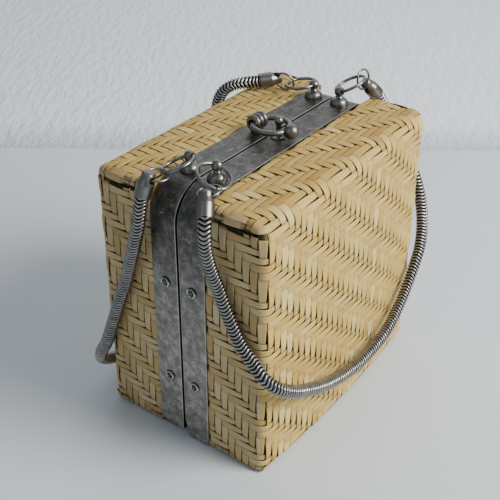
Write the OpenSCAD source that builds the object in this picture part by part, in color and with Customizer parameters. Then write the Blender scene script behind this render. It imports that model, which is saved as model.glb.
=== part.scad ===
/* [Basket] */
// Width of the woven box across its two ends
basket_w = 150; // [130:1:180]
// Depth of one half, from the seam to its large face
half_d = 51; // [45:0.5:65]
// Height of the woven box
basket_h = 150; // [130:1:180]
// Thickness of the woven wall
wall_t = 2; // [1.6:0.1:2.6]
// Radius of the edges above and below the large face
ridge_r = 8; // [5:0.5:12]
// Radius of the upright edges beside the large face
corner_r = 5; // [3:0.5:8]
// Radius of the folded edge between top and ends
fold_r = 2.5; // [1:0.5:4]

/* [Weave] */
// Pitch of the bamboo strips
strip_pitch = 4.4; // [3.8:0.1:6]
// Number of strips that one float passes over
float_over = 3; // [2:1:4]
// Gap between neighbouring floats
strip_gap = 0.5; // [0.3:0.1:1]
// Height of a float above the wall
float_h = 0.5; // [0.3:0.1:0.8]

/* [Frame] */
// Width of one metal band
band_w = 16; // [12:0.5:20]
// Thickness of the sheet metal
band_t = 1; // [0.8:0.1:1.4]
// Depth of the lip inside the rim
lip_w = 5; // [4:0.5:6]
// Radius of the frame's upper corners
frame_r = 19; // [12:0.5:26]
// Gap between the two closed bands
seam_gap = 0.6; // [0.4:0.1:1]
// Gap between the sheet metal and the wall inside it
seat_gap = 0.1; // [0.05:0.05:0.2]
// Height of the front band's lower end above the ground
front_foot = 0.6; // [0.3:0.1:1.2]

/* [Rivets] */
// Height of the lower row of rivets
rivet_low = 38; // [25:1:50]
// Height of the upper row of rivets
rivet_high = 98; // [80:1:115]
// Diameter of a rivet's dished head
rivet_head_d = 6; // [5:0.5:8]
// Diameter of a rivet's shank
rivet_shank_d = 3; // [2:0.1:3.4]
// Radial clearance of shanks in their holes
shank_gap = 0.1; // [0.05:0.05:0.2]

/* [Bottom hinge] */
// Gap between each end of the hinge and the frame's lip
hinge_margin = 2; // [1.5:0.5:10]
// Height of the hinge axis above the ground
hinge_z = 3.2; // [3:0.1:4]
// Outer diameter of the knuckles
knuckle_d = 3.8; // [3.4:0.1:4.2]
// Diameter of the hinge pin
hinge_pin_d = 1.8; // [1.4:0.1:2]
// Width of one leaf from the hinge axis
leaf_w = 13; // [11:0.5:16]
// Thickness of a leaf
leaf_t = 0.8; // [0.6:0.1:1]
// Radial clearance of the pin in the knuckles
pin_gap = 0.05; // [0.02:0.01:0.1]
// Gap between neighbouring knuckles
knuckle_gap = 0.3; // [0.2:0.1:0.6]

/* [Clasp] */
// Distance of the clasp axis behind the seam
clasp_y = 8; // [7:0.5:9]
// Height of the clasp axis above the band
clasp_rise = 5.4; // [5:0.1:6.5]
// Length of the beaded knuckle
clasp_knuckle_l = 9; // [8:0.5:10]
// Diameter of the beaded knuckle
clasp_knuckle_d = 8.8; // [8:0.2:10]
// Mean diameter of the clasp ring
clasp_ring_d = 19.2; // [18:0.2:21]
// Thickness of the clasp ring
clasp_wire_d = 3; // [2.4:0.1:3.2]
// Diameter of the grip ball on the ring
clasp_ball_d = 8; // [6:0.5:9]
// Diameter of the post's ball head
post_head_d = 4.8; // [4:0.2:5.4]
// Clearance of the swinging ring
clasp_gap = 0.3; // [0.2:0.05:0.5]

/* [Handles] */
// Distance of the studs from the rounded ends of the band's flat top
stud_in = 2.6; // [2.6:0.1:8]
// Diameter of a stud's domed foot
stud_d = 10; // [9:0.2:12]
// Diameter of the drilled ball on a stud
stud_ball_d = 5.6; // [5:0.2:6.6]
// Height of the drilled ball above the band
stud_rise = 7.4; // [7.2:0.1:10]
// Mean diameter of a large ring
ring_d = 17; // [16:0.5:18]
// Thickness of a large ring
ring_wire_d = 1.8; // [1.5:0.1:2]
// Mean diameter of a small link
link_d = 11; // [10.6:0.1:11.4]
// Thickness of a small link
link_wire_d = 1.2; // [1:0.1:1.4]
// Diameter of the snake chain
chain_d = 7; // [5:0.5:8]
// Wall of an end cap
cap_wall = 0.6; // [0.4:0.1:1]
// Length of an end cap below its cross hole
cap_l = 9.5; // [8:0.5:14]
// Diameter of an end cap's narrow end
cap_neck_d = 6.8; // [6.2:0.1:7.4]
// Diameter of an end cap's cross hole
cap_hole_d = 3.5; // [3.2:0.1:3.8]

/* [Hidden] */
$fn = 48;
// Colours as they look on the object
bamboo = [0.72, 0.6, 0.42];
pewter = [0.5, 0.5, 0.48];
nickel = [0.75, 0.74, 0.72];
// Allowance that makes cuts pass through a face
cut = 1;
// How far a float is rooted in the wall
root_h = 0.4;

// Frame: outer size, top, and the rim seated in its channel
frame_w = basket_w + 2 * (seat_gap + band_t);
frame_top = basket_h + seat_gap + band_t;
band_inner = seam_gap / 2;
band_outer = band_inner + band_w;
band_mid = band_inner + band_w / 2;
rim_y = band_inner + band_t + seat_gap;
step_y = band_outer + seat_gap;
grip = band_t + seat_gap + wall_t;
// Closed tail of a shank on the inside of the wall
tail_d = rivet_shank_d + 2;
tail_h = 0.9;
// Hinge: how far the walls stand back from the axis so that the front half can swing
swing_gap = 0.6;
notch = hinge_z + swing_gap;
pin_bore_d = hinge_pin_d + 2 * pin_gap;
leaf_z = wall_t + seat_gap;
hinge_l = basket_w - 2 * (grip + hinge_margin);
knuckles = 5;
knuckle_l = hinge_l / knuckles;
leaf_rivet_x = [-0.4 * hinge_l, -0.15 * hinge_l, 0.15 * hinge_l, 0.4 * hinge_l];
leaf_rivet_y = knuckle_d / 2 + (leaf_w - knuckle_d / 2) * 0.6;
leaf_rivet_d = 2;
leaf_head_d = 4;
leaf_head_h = 0.7;
leaf_tail = 0.4;
// Clasp: the ring bows inside its knuckle, so the axis halves that bow
clasp_z = frame_top + clasp_rise;
clasp_ring_r = clasp_ring_d / 2;
clasp_bow = clasp_ring_r - sqrt(pow(clasp_ring_r, 2) - pow(clasp_knuckle_l / 2, 2));
clasp_bore_d = clasp_wire_d + clasp_bow + 2 * clasp_gap;
clasp_centre_y = clasp_y + clasp_bow / 2 - clasp_ring_r;
clasp_ball_y = clasp_centre_y - clasp_ring_r + (clasp_wire_d - clasp_ball_d) / 2;
post_head_z = clasp_z + clasp_wire_d / 2 + post_head_d / 2;
post_reach = clasp_y - clasp_centre_y + clasp_ring_r - (clasp_wire_d + post_head_d) / 2 - 2 * clasp_gap;
post_y = clasp_y - sqrt(pow(post_reach, 2) - pow(post_head_z - clasp_z, 2));
// Handle fittings
stud_x = frame_w / 2 - frame_r - stud_in;
stud_z = frame_top + stud_rise;
stud_hole_d = ring_wire_d + 0.8;
ring_bow = ring_d / 2 - sqrt(pow(ring_d / 2, 2) - pow(stud_ball_d / 2, 2));
ring_reach = ring_d - ring_bow / 2;
cap_d = chain_d + 2 * (seat_gap + cap_wall);
cap_seat = 3;
cap_bow = link_d / 2 - sqrt(pow(link_d / 2, 2) - pow(cap_neck_d / 2, 2));
cap_top = (cap_bow + cap_hole_d) / 2 + 1.2;
cap_socket = cap_l - cap_hole_d / 2 - 2;

// Heading, droop and roll of each large ring, seen from its stud
rear_left_lie = [173.5, 9.7, 22];
rear_right_lie = [94, 8, 0];
front_left_lie = [208.4, 8.8, -22];
front_right_lie = [-14, -17, -20];

// Route of each chain from its left cap to its right cap
rear_route = [
    [-81.2, 14, 149.8], [-82.4, 15, 145], [-83.2, 15.8, 138], [-83.4, 17.5, 129.5], [-83, 20.5, 120],
    [-82, 24, 110.5], [-81, 28, 100.5], [-80, 32, 90], [-80, 36.5, 79], [-80, 41, 67], [-80, 45.5, 55],
    [-80, 50, 43.5], [-79.5, 55.5, 33.5], [-76, 60, 25], [-69, 62.5, 18], [-58.5, 63.5, 13],
    [-46, 63.5, 10.5], [-33, 63.5, 11], [-20.5, 63, 14.5], [-9, 62.5, 21], [1, 62, 30],
    [9.5, 61.5, 40.5], [16.5, 61, 52], [22, 60.5, 64.5], [26, 60, 77.5], [29, 60, 91],
    [31, 60, 104.5], [32, 60.5, 118], [32.5, 60.5, 131], [33, 59.5, 142], [34, 56, 149.5],
    [36, 50.5, 154], [39, 44.5, 155.8], [43.4, 39.7, 156.2], [47, 36.5, 156.6]
];
front_route = [
    [-81.3, -22.3, 151], [-83.6, -23.9, 148.2], [-85.6, -25, 143.8], [-86.2, -25.4, 138.5],
    [-85.6, -25.8, 131.5], [-83.8, -27, 122],
    [-81.5, -29, 112.5], [-80.5, -32, 102.5], [-80, -36, 93], [-80, -41, 84], [-80, -48, 76.5],
    [-80.5, -55, 70.5], [-76.5, -60, 64.5], [-68, -62, 57.5], [-57, -62.5, 50.5], [-44.5, -63, 44],
    [-30.5, -63, 38], [-15.5, -63, 33.5], [0, -63, 31], [16, -62.5, 30.5], [32, -62, 32.5],
    [46, -60.5, 37], [58.5, -59, 44], [69, -57.5, 53], [77, -56.5, 64], [80.5, -55, 76],
    [81, -53, 88], [81.5, -49.5, 99], [82.5, -44.5, 108.5], [84, -37.5, 116.5], [85.5, -30.5, 123.5],
    [86.5, -24.5, 131], [86.5, -20.5, 139], [85.2, -19, 144.5], [82.6, -17.5, 149], [79.7, -16, 152.3]
];

// Small vector helpers
function unit(v) = v / norm(v);
function across(v, d) = unit(v - (v * d) * d);
function heading(lie) = [cos(lie[0]) * cos(lie[1]), sin(lie[0]) * cos(lie[1]), -sin(lie[1])];

// A rectangle on the x axis with its two upper corners rounded
module arch(w, h, r) {
    translate([-w / 2, 0]) square([w, h - r]);
    translate([r - w / 2, 0]) square([w - 2 * r, h]);
    for (s = [-1, 1]) translate([s * (w / 2 - r), h - r]) circle(r);
}

// Runs an outline of the end view from one depth in front of the seam to another
module run_y(from, to) {
    translate([0, -from, 0]) rotate([90, 0, 0]) linear_extrude(to - from) children();
}

// Runs an outline of the side view along the seam
module run_x(length) {
    translate([-length / 2, 0, 0]) rotate([90, 0, 90]) linear_extrude(length) children();
}

// The box of one half between two depths, with rounded edges round its large face
module half_box(inset, from, fold) {
    w = basket_w - 2 * inset;
    h = basket_h - 2 * inset;
    d = half_d - inset - from;
    intersection() {
        translate([0, -from, inset]) linear_extrude(h) rotate(180) arch(w, d, corner_r - inset);
        run_x(w) translate([-from, basket_h / 2]) rotate(90) arch(h, d, ridge_r - inset);
        translate([0, 0, inset]) run_y(from, half_d - inset) arch(w, h, fold);
    }
}

// Floats of a twill weave: each column's floats lie one strip lower than those of the column before
module floats(columns, rows) {
    period = 2 * float_over;
    for (c = [0 : columns - 1])
        for (k = [-ceil(columns / period) : ceil(rows / period)]) {
            first = max(0, c % period + k * period);
            last = min(rows, c % period + k * period + float_over);
            if (last > first)
                translate([c * strip_pitch + strip_gap / 2, strip_gap / 2 - last * strip_pitch])
                    square([strip_pitch - strip_gap, (last - first) * strip_pitch - strip_gap]);
        }
}

// Woven relief on the large face, the ends and the top of the front half
module weave() {
    columns = floor((basket_w - 2 * corner_r) / strip_pitch);
    rows = floor((basket_h - 2 * ridge_r) / strip_pitch);
    end_columns = floor((half_d - corner_r - step_y) / strip_pitch);
    top_rows = floor((half_d - ridge_r - step_y) / strip_pitch);
    left = -columns * strip_pitch / 2;
    upper = basket_h / 2 + rows * strip_pitch / 2;
    relief = root_h + float_h;
    translate([left, root_h - half_d, upper]) rotate([90, 0, 0])
        linear_extrude(relief) floats(columns, rows);
    translate([left, -step_y - strip_gap, basket_h - root_h])
        linear_extrude(relief) floats(columns, top_rows);
    translate([root_h - basket_w / 2, corner_r - half_d + end_columns * strip_pitch, upper])
        rotate([90, 0, -90]) linear_extrude(relief) floats(end_columns, rows);
    translate([basket_w / 2 - root_h, corner_r - half_d, upper])
        rotate([90, 0, 90]) linear_extrude(relief) floats(end_columns, rows);
}

// Hole through the top for a shank, with room in the frame's lip for its closed tail
module top_hole() {
    translate([0, 0, basket_h]) cylinder(d = rivet_shank_d + 2 * shank_gap, h = 4 * grip, center = true);
    translate([0, 0, basket_h - 2 * grip - wall_t]) cylinder(d = tail_d + 2 * shank_gap, h = 2 * grip);
}

// Holes through the frame and the wall for the fastenings of one half
module fastening_holes(clasp_at) {
    for (s = [-1, 1]) {
        for (z = [rivet_low, rivet_high])
            translate([s * basket_w / 2, -band_mid, z]) rotate([0, 90, 0])
                cylinder(d = rivet_shank_d + 2 * shank_gap, h = 4 * grip, center = true);
        translate([s * stud_x, -band_mid, 0]) top_hole();
    }
    translate([0, -clasp_at, 0]) top_hole();
}

// Woven half box in front of the seam, open towards the seam
module basket_half(clasp_at) {
    rim_r = frame_r - band_t - seat_gap;
    difference() {
        union() {
            run_y(rim_y, step_y + wall_t) arch(basket_w, basket_h, rim_r);
            half_box(0, step_y, fold_r);
            weave();
        }
        translate([0, 0, wall_t])
            run_y(0, step_y + wall_t) arch(basket_w - 2 * wall_t, basket_h - 2 * wall_t, rim_r - wall_t);
        half_box(wall_t, step_y + wall_t - seat_gap, fold_r);
        run_x(2 * basket_w) translate([-notch, -cut]) square([2 * notch, notch + cut]);
        fastening_holes(clasp_at);
        for (x = leaf_rivet_x)
            translate([x, -leaf_rivet_y, -cut])
                cylinder(d = leaf_rivet_d + 2 * shank_gap, h = wall_t + 2 * cut);
    }
}

// Channel of sheet metal round the rim of the half in front of the seam
module frame_half(clasp_at, foot) {
    lip_inset = wall_t + seat_gap + band_t;
    inner_w = basket_w - 2 * lip_inset;
    inner_h = basket_h - lip_inset;
    inner_r = frame_r - band_t - seat_gap - lip_inset;
    difference() {
        union() {
            run_y(band_inner, band_outer) difference() {
                arch(frame_w, frame_top, frame_r);
                translate([0, -cut])
                    arch(frame_w - 2 * band_t, frame_top - band_t + cut, frame_r - band_t);
                translate([-frame_w, -cut]) square([2 * frame_w, cut + foot]);
            }
            run_y(band_inner, band_inner + band_t) difference() {
                arch(frame_w, frame_top, frame_r);
                translate([0, -cut]) arch(inner_w, inner_h + cut, inner_r);
                translate([-frame_w, -cut]) square([2 * frame_w, cut + notch]);
            }
            run_y(band_inner, band_inner + lip_w) difference() {
                arch(inner_w + 2 * band_t, inner_h + band_t, inner_r + band_t);
                translate([0, -cut]) arch(inner_w, inner_h + cut, inner_r);
                translate([-frame_w, -cut]) square([2 * frame_w, cut + notch]);
            }
        }
        run_x(2 * frame_w) polygon([[0, 0], [0, notch], [-notch, 0]]);
        fastening_holes(clasp_at);
    }
}

// Turned outline of a shank that grips band and wall, closed over on the inside
module shank_outline() {
    r = rivet_shank_d / 2;
    tail_r = tail_d / 2;
    end = grip + tail_h;
    polygon([
        [0, cut], [r, cut], [r, -grip], [tail_r, -grip],
        [tail_r, -grip - tail_h / 2], [r, -end], [0, -end]
    ]);
}

// Rivet with a dished head
module rivet() {
    r = rivet_head_d / 2;
    rotate_extrude() {
        shank_outline();
        polygon([[0, 0], [r, 0], [r, 0.4], [r - 0.3, 0.9], [r - 0.8, 1.1], [r - 1.4, 0.7], [0, 0.5]]);
    }
}

// The four rivets of one half
module half_rivets() {
    for (s = [-1, 1], z = [rivet_low, rivet_high])
        translate([s * frame_w / 2, -band_mid, z]) rotate([0, s * 90, 0]) rivet();
}

// Leaf of the bottom hinge with its own knuckles, on one side of the axis
module hinge_leaf(side, first) {
    start = knuckle_d / 2 + knuckle_gap;
    difference() {
        union() {
            translate([-hinge_l / 2, side > 0 ? start : -leaf_w, leaf_z])
                cube([hinge_l, leaf_w - start, leaf_t]);
            for (k = [first : 2 : knuckles - 1]) {
                x = -hinge_l / 2 + k * knuckle_l + knuckle_gap / 2;
                translate([x, side > 0 ? 0 : -start - cut, leaf_z])
                    cube([knuckle_l - knuckle_gap, start + cut, leaf_t]);
                translate([x, 0, hinge_z]) rotate([0, 90, 0])
                    cylinder(d = knuckle_d, h = knuckle_l - knuckle_gap);
            }
        }
        translate([0, 0, hinge_z]) rotate([0, 90, 0])
            cylinder(d = pin_bore_d, h = 2 * hinge_l, center = true);
        for (x = leaf_rivet_x)
            translate([x, side * leaf_rivet_y, 0])
                cylinder(d = leaf_rivet_d + 2 * shank_gap, h = leaf_z + leaf_t + cut);
    }
}

// Rivets that hold one leaf to the bottom wall
module leaf_rivets(side) {
    for (x = leaf_rivet_x)
        translate([x, side * leaf_rivet_y, 0]) {
            translate([0, 0, leaf_tail])
                cylinder(d = leaf_rivet_d, h = leaf_z + leaf_t - leaf_tail + leaf_head_h / 2);
            translate([0, 0, leaf_z + leaf_t])
                cylinder(d1 = leaf_head_d, d2 = leaf_rivet_d, h = leaf_head_h);
        }
}

// Turns a ring or its hole to a lie: heading, droop and roll about the heading
module laid(lie) {
    rotate([0, lie[1], lie[0]]) rotate([lie[2], 0, 0]) children();
}

// Stud with a domed foot and a ball drilled for a ring that lies in the given direction
module stud(lie) {
    r = stud_d / 2;
    ball_r = stud_ball_d / 2;
    neck_r = ball_r * 0.6;
    difference() {
        union() {
            rotate_extrude() {
                shank_outline();
                polygon([
                    [0, 0], [r, 0], [r, 0.6], [r * 0.98, 1.4], [r * 0.91, 2.3], [r * 0.78, 3.2],
                    [r * 0.6, 3.9], [neck_r + 0.3, 4.4], [neck_r, 4.9], [neck_r, stud_rise],
                    [0, stud_rise]
                ]);
            }
            translate([0, 0, stud_rise]) sphere(ball_r);
        }
        translate([0, 0, stud_rise]) laid(lie) rotate([90, 0, 0])
            cylinder(d = stud_hole_d, h = stud_d, center = true);
    }
}

// Plain wire ring about the z axis
module wire_ring(mean_d, wire_d) {
    rotate_extrude() translate([mean_d / 2, 0]) circle(d = wire_d);
}

// Places of the fittings of one handle end, from the stud to the cap
function stud_at(sx, sy) = [sx * stud_x, sy * band_mid, frame_top];
function eye_at(sx, sy) = [sx * stud_x, sy * band_mid, stud_z];
function ring_end(sx, sy, lie) = eye_at(sx, sy) + ring_reach * heading(lie);
function cap_axis(end) = unit(end[1] - end[0]);
function cap_eye(end) = end[0] - (cap_l - cap_seat) * cap_axis(end);

// Large ring through a stud's ball
module large_ring(sx, sy, lie) {
    translate(eye_at(sx, sy)) laid(lie)
        translate([ring_reach - ring_d / 2, 0, 0]) wire_ring(ring_d, ring_wire_d);
}

// Small link between a large ring's far side and the cross hole of a cap
module small_link(sx, sy, lie, end) {
    eye = cap_eye(end);
    pull = unit(eye - ring_end(sx, sy, lie));
    normal = across(cap_axis(end), pull);
    along = cross(normal, pull);
    centre = eye - link_d / 2 * pull;
    multmatrix([
        [pull[0], along[0], normal[0], centre[0]],
        [pull[1], along[1], normal[1], centre[1]],
        [pull[2], along[2], normal[2], centre[2]]
    ]) wire_ring(link_d, link_wire_d);
}

// End cap: a cup for the chain with a rounded narrow end and a cross hole for the link
module end_cap(sx, sy, lie, end) {
    axis = cap_axis(end);
    eye = cap_eye(end);
    pull = unit(eye - ring_end(sx, sy, lie));
    hole = unit(cross(axis, pull));
    side = cross(axis, hole);
    shift = -cap_bow / 2 * pull;
    r = cap_d / 2;
    neck_r = cap_neck_d / 2;
    multmatrix([
        [hole[0], side[0], axis[0], eye[0]],
        [hole[1], side[1], axis[1], eye[1]],
        [hole[2], side[2], axis[2], eye[2]]
    ]) difference() {
        rotate_extrude()
            polygon([
                [0, -cap_top], [neck_r * 0.5, -cap_top], [neck_r * 0.8, 0.5 - cap_top],
                [neck_r * 0.95, 1.4 - cap_top], [neck_r, 0], [r, cap_l - cap_socket - 1],
                [r, cap_l], [0, cap_l]
            ]);
        translate([0, 0, cap_l - cap_socket]) cylinder(d = chain_d + 2 * seat_gap, h = cap_socket + cut);
        translate([0, shift * side, shift * axis]) rotate([0, 90, 0])
            cylinder(d = cap_hole_d, h = 2 * cap_d, center = true);
    }
}

// Tube swept along a chain's route, with one ring of corners at each point
chain_sides = 10;
function tangent(p, i) = unit(p[min(i + 1, len(p) - 1)] - p[max(i - 1, 0)]);
function side_at(p, i) = across(i == 0 ? [0, 0, 1] : side_at(p, i - 1), tangent(p, i));
function chain_ring(p, i) = let (t = tangent(p, i), u = side_at(p, i), v = cross(t, u))
    [for (k = [0 : chain_sides - 1]) let (a = 360 * k / chain_sides)
        p[i] + chain_d / 2 * (cos(a) * u + sin(a) * v)];
module chain_tube(p) {
    last = len(p) - 1;
    corners = [for (i = [0 : last]) each chain_ring(p, i)];
    walls = [for (i = [0 : last - 1], k = [0 : chain_sides - 1]) let (m = (k + 1) % chain_sides)
        each [
            [i * chain_sides + k, (i + 1) * chain_sides + k, (i + 1) * chain_sides + m],
            [i * chain_sides + k, (i + 1) * chain_sides + m, i * chain_sides + m]
        ]];
    start = [for (k = [0 : chain_sides - 1]) k];
    end = [for (k = [chain_sides - 1 : -1 : 0]) last * chain_sides + k];
    polyhedron(points = corners, faces = concat([start], walls, [end]), convexity = 8);
}

// The two halves of the woven box
module rear_basket() { color(bamboo) rotate(180) basket_half(clasp_y); }
module front_basket() { color(bamboo) basket_half(-post_y); }

// The frame: the rear band stops above the hinge, so the front band's lower corner can swing under it
module rear_frame() { color(pewter) rotate(180) frame_half(clasp_y, notch); }
module front_frame() { color(pewter) frame_half(-post_y, front_foot); }
module rear_rivets() { color(pewter) rotate(180) half_rivets(); }
module front_rivets() { color(pewter) half_rivets(); }

// The bottom hinge
module rear_hinge_leaf() { color(pewter) hinge_leaf(1, 0); }
module front_hinge_leaf() { color(pewter) hinge_leaf(-1, 1); }
module hinge_pin() {
    color(nickel) translate([0, 0, hinge_z]) rotate([0, 90, 0])
        cylinder(d = hinge_pin_d, h = hinge_l, center = true);
}
module rear_hinge_rivets() { color(pewter) leaf_rivets(1); }
module front_hinge_rivets() { color(pewter) leaf_rivets(-1); }

// Beaded knuckle that carries the clasp ring, riveted to the rear band
module clasp_knuckle() {
    bead = clasp_knuckle_l / 6;
    r = clasp_knuckle_d / 2;
    bore_r = clasp_bore_d / 2;
    color(nickel) difference() {
        union() {
            translate([0, clasp_y, clasp_z]) rotate([0, 90, 0]) rotate_extrude() {
                translate([bore_r, -clasp_knuckle_l / 2])
                    square([r - bead * 0.6 - bore_r, clasp_knuckle_l]);
                for (k = [-1 : 1]) translate([r - bead, 2 * k * bead]) circle(bead);
            }
            translate([0, clasp_y, frame_top]) {
                cylinder(r = r * 0.75, h = clasp_rise);
                rotate_extrude() shank_outline();
            }
        }
        translate([0, clasp_y, clasp_z]) rotate([0, 90, 0])
            cylinder(r = bore_r, h = 2 * clasp_knuckle_l, center = true);
    }
}

// Clasp ring with its grip ball
module clasp_ring() {
    color(nickel) {
        translate([0, clasp_centre_y, clasp_z]) wire_ring(clasp_ring_d, clasp_wire_d);
        translate([0, clasp_ball_y, clasp_z]) rotate([90, 0, 0]) sphere(d = clasp_ball_d);
    }
}

// Ball-headed post on the front band
module clasp_post() {
    neck_r = post_head_d * 0.3;
    foot_r = 4;
    color(nickel) translate([0, post_y, frame_top]) {
        rotate_extrude() {
            shank_outline();
            polygon([
                [0, 0], [foot_r, 0], [foot_r, 0.5], [foot_r - 0.6, 0.9], [neck_r + 0.8, 1.2],
                [neck_r, 2], [neck_r, post_head_z - frame_top], [0, post_head_z - frame_top]
            ]);
        }
        translate([0, 0, post_head_z - frame_top]) sphere(d = post_head_d);
    }
}

// The four studs
module rear_left_stud() { color(nickel) translate(stud_at(-1, 1)) stud(rear_left_lie); }
module rear_right_stud() { color(nickel) translate(stud_at(1, 1)) stud(rear_right_lie); }
module front_left_stud() { color(nickel) translate(stud_at(-1, -1)) stud(front_left_lie); }
module front_right_stud() { color(nickel) translate(stud_at(1, -1)) stud(front_right_lie); }

// The four large rings
module rear_left_ring() { color(nickel) large_ring(-1, 1, rear_left_lie); }
module rear_right_ring() { color(nickel) large_ring(1, 1, rear_right_lie); }
module front_left_ring() { color(nickel) large_ring(-1, -1, front_left_lie); }
module front_right_ring() { color(nickel) large_ring(1, -1, front_right_lie); }

// First and second point of a route from its left or right end
function left_end(p) = [p[0], p[1]];
function right_end(p) = [p[len(p) - 1], p[len(p) - 2]];
rear_left_end = left_end(rear_route);
rear_right_end = right_end(rear_route);
front_left_end = left_end(front_route);
front_right_end = right_end(front_route);

// The four small links
module rear_left_link() { color(nickel) small_link(-1, 1, rear_left_lie, rear_left_end); }
module rear_right_link() { color(nickel) small_link(1, 1, rear_right_lie, rear_right_end); }
module front_left_link() { color(nickel) small_link(-1, -1, front_left_lie, front_left_end); }
module front_right_link() { color(nickel) small_link(1, -1, front_right_lie, front_right_end); }

// The four end caps
module rear_left_cap() { color(nickel) end_cap(-1, 1, rear_left_lie, rear_left_end); }
module rear_right_cap() { color(nickel) end_cap(1, 1, rear_right_lie, rear_right_end); }
module front_left_cap() { color(nickel) end_cap(-1, -1, front_left_lie, front_left_end); }
module front_right_cap() { color(nickel) end_cap(1, -1, front_right_lie, front_right_end); }

// The two snake chains
module rear_chain() { color(nickel) chain_tube(rear_route); }
module front_chain() { color(nickel) chain_tube(front_route); }

rear_basket();
front_basket();
rear_frame();
front_frame();
rear_rivets();
front_rivets();
rear_hinge_leaf();
front_hinge_leaf();
hinge_pin();
rear_hinge_rivets();
front_hinge_rivets();
clasp_knuckle();
clasp_ring();
clasp_post();
rear_left_stud();
rear_right_stud();
front_left_stud();
front_right_stud();
rear_left_ring();
rear_right_ring();
front_left_ring();
front_right_ring();
rear_left_link();
rear_right_link();
front_left_link();
front_right_link();
rear_left_cap();
rear_right_cap();
front_left_cap();
front_right_cap();
rear_chain();
front_chain();
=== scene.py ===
import math

import bpy
import numpy as np
from mathutils import Matrix


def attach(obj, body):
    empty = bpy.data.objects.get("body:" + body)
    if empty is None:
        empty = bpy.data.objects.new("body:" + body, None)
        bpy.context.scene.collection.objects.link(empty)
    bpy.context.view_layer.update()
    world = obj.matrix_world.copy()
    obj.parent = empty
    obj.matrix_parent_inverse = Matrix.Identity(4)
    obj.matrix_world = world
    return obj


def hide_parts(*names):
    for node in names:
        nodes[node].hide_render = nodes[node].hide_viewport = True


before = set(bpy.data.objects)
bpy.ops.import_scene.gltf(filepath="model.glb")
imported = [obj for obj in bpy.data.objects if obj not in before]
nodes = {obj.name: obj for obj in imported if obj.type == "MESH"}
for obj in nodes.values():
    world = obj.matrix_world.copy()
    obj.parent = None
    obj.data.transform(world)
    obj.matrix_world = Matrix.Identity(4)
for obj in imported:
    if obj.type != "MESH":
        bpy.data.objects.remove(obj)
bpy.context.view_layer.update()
mm = 0.001
quarterTurn = math.pi / 2


# A mesh from whole arrays: points in millimetres, and faces as one array for each count of corners.
# The last flatEnds faces are shaded flat, the others smooth
def addMesh(name, points, faces, uv=None, marks=None, flatEnds=0):
    faces = [np.asarray(f, dtype=np.int32) for f in faces]
    loops = np.concatenate([f.ravel() for f in faces])
    sizes = np.concatenate([np.full(len(f), f.shape[1], dtype=np.int32) for f in faces])
    starts = np.concatenate([[0], np.cumsum(sizes)[:-1]]).astype(np.int32)
    mesh = bpy.data.meshes.new(name)
    mesh.vertices.add(len(points))
    mesh.vertices.foreach_set("co", (np.asarray(points) * mm).astype(np.float32).ravel())
    mesh.loops.add(len(loops))
    mesh.loops.foreach_set("vertex_index", loops)
    mesh.polygons.add(len(sizes))
    mesh.polygons.foreach_set("loop_start", starts)
    mesh.polygons.foreach_set("use_smooth", np.arange(len(sizes)) < len(sizes) - flatEnds)
    if uv is not None:
        layer = mesh.uv_layers.new(name="along")
        layer.data.foreach_set("uv", np.asarray(uv, dtype=np.float32)[loops].ravel())
    for mark, values in (marks or {}).items():
        layer = mesh.attributes.new(mark, "FLOAT", "POINT")
        layer.data.foreach_set("value", np.asarray(values, dtype=np.float32).ravel())
    mesh.update(calc_edges=True)
    made = bpy.data.objects.new(name, mesh)
    bpy.context.scene.collection.objects.link(made)
    return made


def unit(v):
    return v / np.linalg.norm(v, axis=-1, keepdims=True)


# 0 below 0, 1 above 1 and a smooth S between them
def smoothStep(x):
    t = np.clip(x, 0, 1)
    return t * t * (3 - 2 * t)


# Quads of a grid of rows by columns whose columns close on themselves
def gridQuads(rows, columns):
    here = np.arange(rows - 1)[:, None] * columns
    ahead = here + columns
    c = np.arange(columns)[None, :]
    d = (c + 1) % columns
    return np.stack([here + c, here + d, ahead + d, ahead + c], -1).reshape(-1, 4)


# Camera, fitted to the corners of the box: angles in degrees, away and target in millimetres, clip in metres
camera = dict(
    azimuth=-54.115, elevation=32.75, roll=0.387, away=513.613, target=(1.046, 12.753, 75.0), lens=65.09,
    sensor=36, clip=(0.01, 20),
)


# Right, up and back of the camera as it is turned, tipped and rolled
def cameraAxes():
    a, e, r = (math.radians(camera[k]) for k in ("azimuth", "elevation", "roll"))
    back = np.array([math.sin(a) * math.cos(e), -math.cos(a) * math.cos(e), math.sin(e)])
    right = np.array([math.cos(a), math.sin(a), 0])
    up = np.cross(back, right)
    return right * math.cos(r) + up * math.sin(r), up * math.cos(r) - right * math.sin(r), back


# A matrix that puts an object at a place, with its own axes along x, y and z
def placeMatrix(x, y, z, place):
    return Matrix([[x[k], y[k], z[k], place[k]] for k in range(3)] + [[0, 0, 0, 1]])


def addCamera():
    right, up, back = cameraAxes()
    place = (np.array(camera["target"]) + back * camera["away"]) * mm
    data = bpy.data.cameras.new("camera")
    data.lens = camera["lens"]
    data.sensor_width = camera["sensor"]
    data.clip_start, data.clip_end = camera["clip"]
    data.dof.use_dof = False
    made = bpy.data.objects.new("camera", data)
    made.matrix_world = placeMatrix(right, up, back, place)
    bpy.context.scene.collection.objects.link(made)
    bpy.context.scene.camera = made


addCamera()
print("camera done")


# Materials: nodes are added through one small helper each. Scales are per metre of Object coordinates,
# or per millimetre along a strip and per half width across it. A noise is given by its scale and, where they
# differ from the helper's, its detail, roughness and distortion
def newMaterial(name):
    made = bpy.data.materials.new(name)
    made.use_nodes = True
    tree = made.node_tree
    return made, tree, tree.nodes["Principled BSDF"]


def addNode(tree, kind, **values):
    made = tree.nodes.new(kind)
    for key, value in values.items():
        if key in made.inputs:
            made.inputs[key].default_value = value
        else:
            setattr(made, key, value)
    return made


def link(tree, out, into):
    tree.links.new(out, into)


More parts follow.
